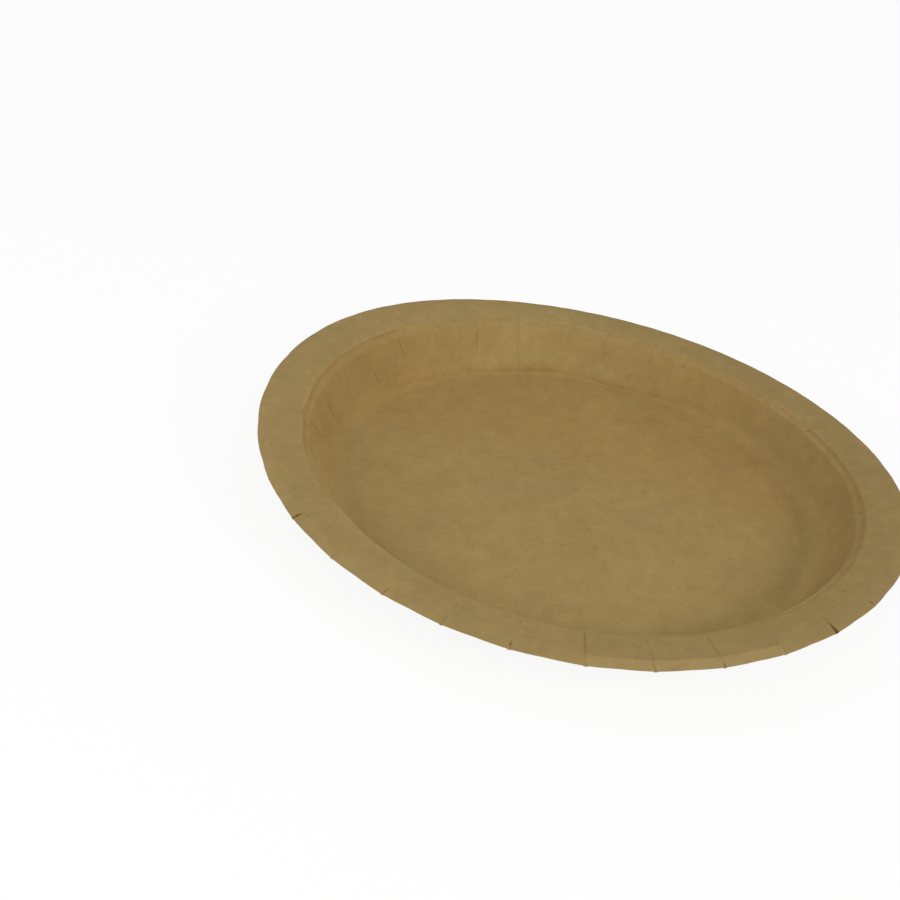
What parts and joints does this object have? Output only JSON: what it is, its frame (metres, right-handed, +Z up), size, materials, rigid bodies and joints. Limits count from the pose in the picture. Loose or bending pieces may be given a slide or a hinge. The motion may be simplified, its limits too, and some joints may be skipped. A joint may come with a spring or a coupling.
{
  "type": "paper plate",
  "caption": "Round disposable plate pressed from kraft board, with a shallow well, a stepped shoulder, a broad brim, a turned-down lip and a ring of pleats.",
  "frame": {"origin": "centre of the underside, on the surface that the plate stands on", "axes": "+Z up along the plate's axis; +X and +Y level, with the first pleat 3.9 degrees round from +X"},
  "size_m": [0.23, 0.23, 0.019],
  "materials": {
    "kraft_board": "uncoated brown kraft board with fine fibres, matt"
  },
  "bodies": {
    "root": {"plate": "kraft_board"}
  },
  "joints": []
}
